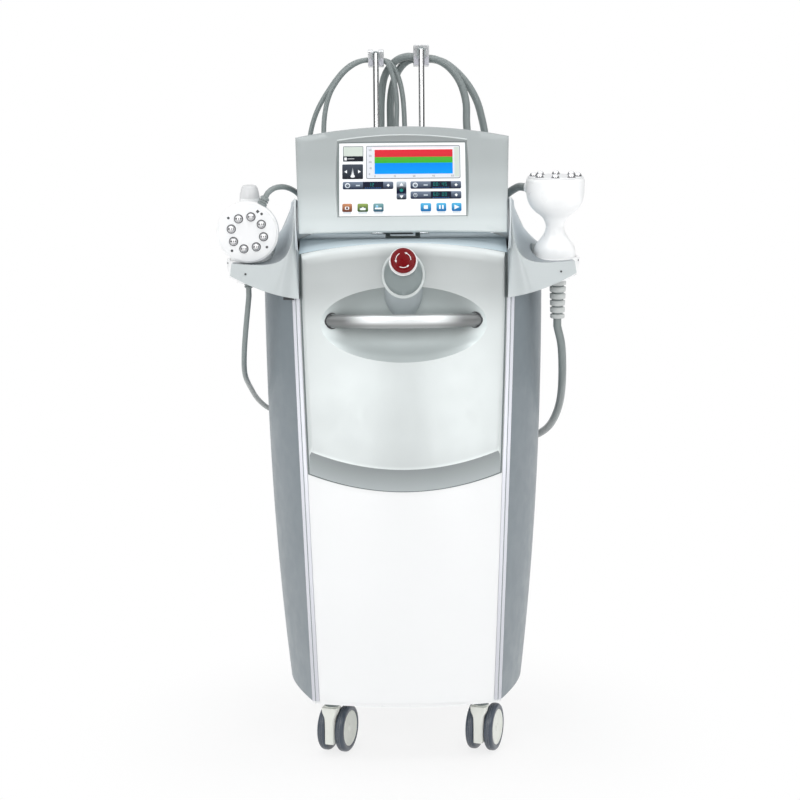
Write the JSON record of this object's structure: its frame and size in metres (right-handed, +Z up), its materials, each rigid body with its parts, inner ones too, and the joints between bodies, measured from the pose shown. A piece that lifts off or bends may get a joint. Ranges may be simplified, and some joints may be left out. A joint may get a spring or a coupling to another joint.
{
  "type": "body contouring machine",
  "caption": "Wheeled body contouring machine with a tilting touch screen, push handle, stop button and two handpieces in side cups with hoses over poles.",
  "frame": {"origin": "on the floor under the middle of the machine", "axes": "the front with the screen faces -Y, +X is the right side of the front view, +Z is up"},
  "size_m": [0.5978, 0.5729, 1.205],
  "materials": {
    "silver": "satin silver paint",
    "blue_grey": "satin blue-grey paint",
    "white": "gloss white",
    "lavender": "pale pearl",
    "steel": "zinc grey",
    "chrome": "polished",
    "tyre": "dark grey rubber",
    "hub": "off-white nylon",
    "red": "gloss red",
    "screen": "printed display glass",
    "dark": "black plastic",
    "line": "grey-green hose",
    "relief": "pale grey boot"
  },
  "bodies": {
    "cabinet": {"base_plate": "white", "front_panel": "white", "left_cup_ring": "white", "right_cup_ring": "white", "upper_front_cover": "silver", "left_arm": "silver", "right_arm": "silver", "push_handle": "silver", "estop_housing": "silver", "top_deck": "silver", "left_side_panel": "blue_grey", "right_side_panel": "blue_grey", "rear_panel": "blue_grey", "left_trim_strip": "lavender", "right_trim_strip": "lavender", "chassis_frame": "steel", "power_supply": "steel", "vacuum_pump": "steel", "left_cable_pole": "chrome", "right_cable_pole": "chrome", "rf_generator": "dark", "fan_housing": "dark", "mains_inlet": "dark", "display_hinge": "dark", "left_hose": "line", "left_cable": "line", "right_hose": "line", "right_cable": "line"},
    "display": {"display_front_shell": "silver", "display_back_cover": "blue_grey", "touch_screen": "screen"},
    "estop_plunger": {"estop_stem": "steel"},
    "estop_head": {"estop_button": "red"},
    "power_rocker": {"power_switch": "dark"},
    "fan": {"fan_rotor": "dark"},
    "left_handpiece": {"left_handpiece_shell": "white", "left_face_plate": "white", "left_electrode_ring": "chrome", "left_hose_gland": "line", "left_cable_relief": "line"},
    "right_handpiece": {"right_handpiece_shell": "white", "right_face_plate": "white", "right_electrode_ring": "chrome", "right_cable_relief": "relief"},
    "front_left_caster": {"front_left_fork": "hub"},
    "front_left_wheels": {"front_left_wheelset": "hub", "front_left_inner_tyre": "tyre", "front_left_outer_tyre": "tyre"},
    "front_right_caster": {"front_right_fork": "hub"},
    "front_right_wheels": {"front_right_wheelset": "hub", "front_right_inner_tyre": "tyre", "front_right_outer_tyre": "tyre"},
    "rear_left_caster": {"rear_left_fork": "hub"},
    "rear_left_wheels": {"rear_left_wheelset": "hub", "rear_left_inner_tyre": "tyre", "rear_left_outer_tyre": "tyre"},
    "rear_right_caster": {"rear_right_fork": "hub"},
    "rear_right_wheels": {"rear_right_wheelset": "hub", "rear_right_inner_tyre": "tyre", "rear_right_outer_tyre": "tyre"}
  },
  "joints": [
    {"name": "front_left_swivel", "type": "hinge", "parent": "cabinet", "child": "front_left_caster", "pos_m": [-0.125, -0.14, 0.09], "axis": [0, 0, 1], "continuous": true},
    {"name": "front_left_roll", "type": "hinge", "parent": "front_left_caster", "child": "front_left_wheels", "pos_m": [-0.11748, -0.11933, 0.04], "axis": [0.9397, -0.342, 0], "continuous": true},
    {"name": "front_right_swivel", "type": "hinge", "parent": "cabinet", "child": "front_right_caster", "pos_m": [0.125, -0.14, 0.09], "axis": [0, 0, 1], "continuous": true},
    {"name": "front_right_roll", "type": "hinge", "parent": "front_right_caster", "child": "front_right_wheels", "pos_m": [0.13252, -0.11933, 0.04], "axis": [0.9397, -0.342, 0], "continuous": true},
    {"name": "rear_left_swivel", "type": "hinge", "parent": "cabinet", "child": "rear_left_caster", "pos_m": [-0.125, 0.165, 0.09], "axis": [0, 0, 1], "continuous": true},
    {"name": "rear_left_roll", "type": "hinge", "parent": "rear_left_caster", "child": "rear_left_wheels", "pos_m": [-0.11748, 0.18567, 0.04], "axis": [0.9397, -0.342, 0], "continuous": true},
    {"name": "rear_right_swivel", "type": "hinge", "parent": "cabinet", "child": "rear_right_caster", "pos_m": [0.125, 0.165, 0.09], "axis": [0, 0, 1], "continuous": true},
    {"name": "rear_right_roll", "type": "hinge", "parent": "rear_right_caster", "child": "rear_right_wheels", "pos_m": [0.13252, 0.18567, 0.04], "axis": [0.9397, -0.342, 0], "continuous": true},
    {"name": "display_tilt", "type": "hinge", "parent": "cabinet", "child": "display", "pos_m": [0, -0.117, 0.89], "axis": [-1, 0, 0], "range_deg": [-5, 20]},
    {"name": "estop_press", "type": "slide", "parent": "cabinet", "child": "estop_plunger", "axis": [0, 0.9848, -0.1736], "range_m": [0, 0.005], "stiffness_N_per_m": 600, "springref_m": -0.003},
    {"name": "estop_twist", "type": "hinge", "parent": "estop_plunger", "child": "estop_head", "pos_m": [0, -0.2415, 0.8335], "axis": [0, -0.9848, 0.1736], "range_deg": [0, 35], "stiffness_Nm_per_rad": 0.02, "springref_deg": -11.46},
    {"name": "power_rock", "type": "hinge", "parent": "cabinet", "child": "power_rocker", "pos_m": [-0.1, 0.2496, 0.1975], "axis": [1, 0, 0], "range_deg": [0, 16]},
    {"name": "fan_spin", "type": "hinge", "parent": "cabinet", "child": "fan", "pos_m": [0.085, 0.232, 0.3], "axis": [0, 1, 0], "continuous": true},
    {"name": "left_handpiece_lift", "type": "slide", "parent": "cabinet", "child": "left_handpiece", "axis": [0, -0.1045, 0.9945], "range_m": [0, 0.13], "deforming": ["left_hose", "left_cable"]},
    {"name": "right_handpiece_lift", "type": "slide", "parent": "cabinet", "child": "right_handpiece", "axis": [0, -0.1045, 0.9945], "range_m": [0, 0.13], "deforming": ["right_hose", "right_cable"]}
  ]
}
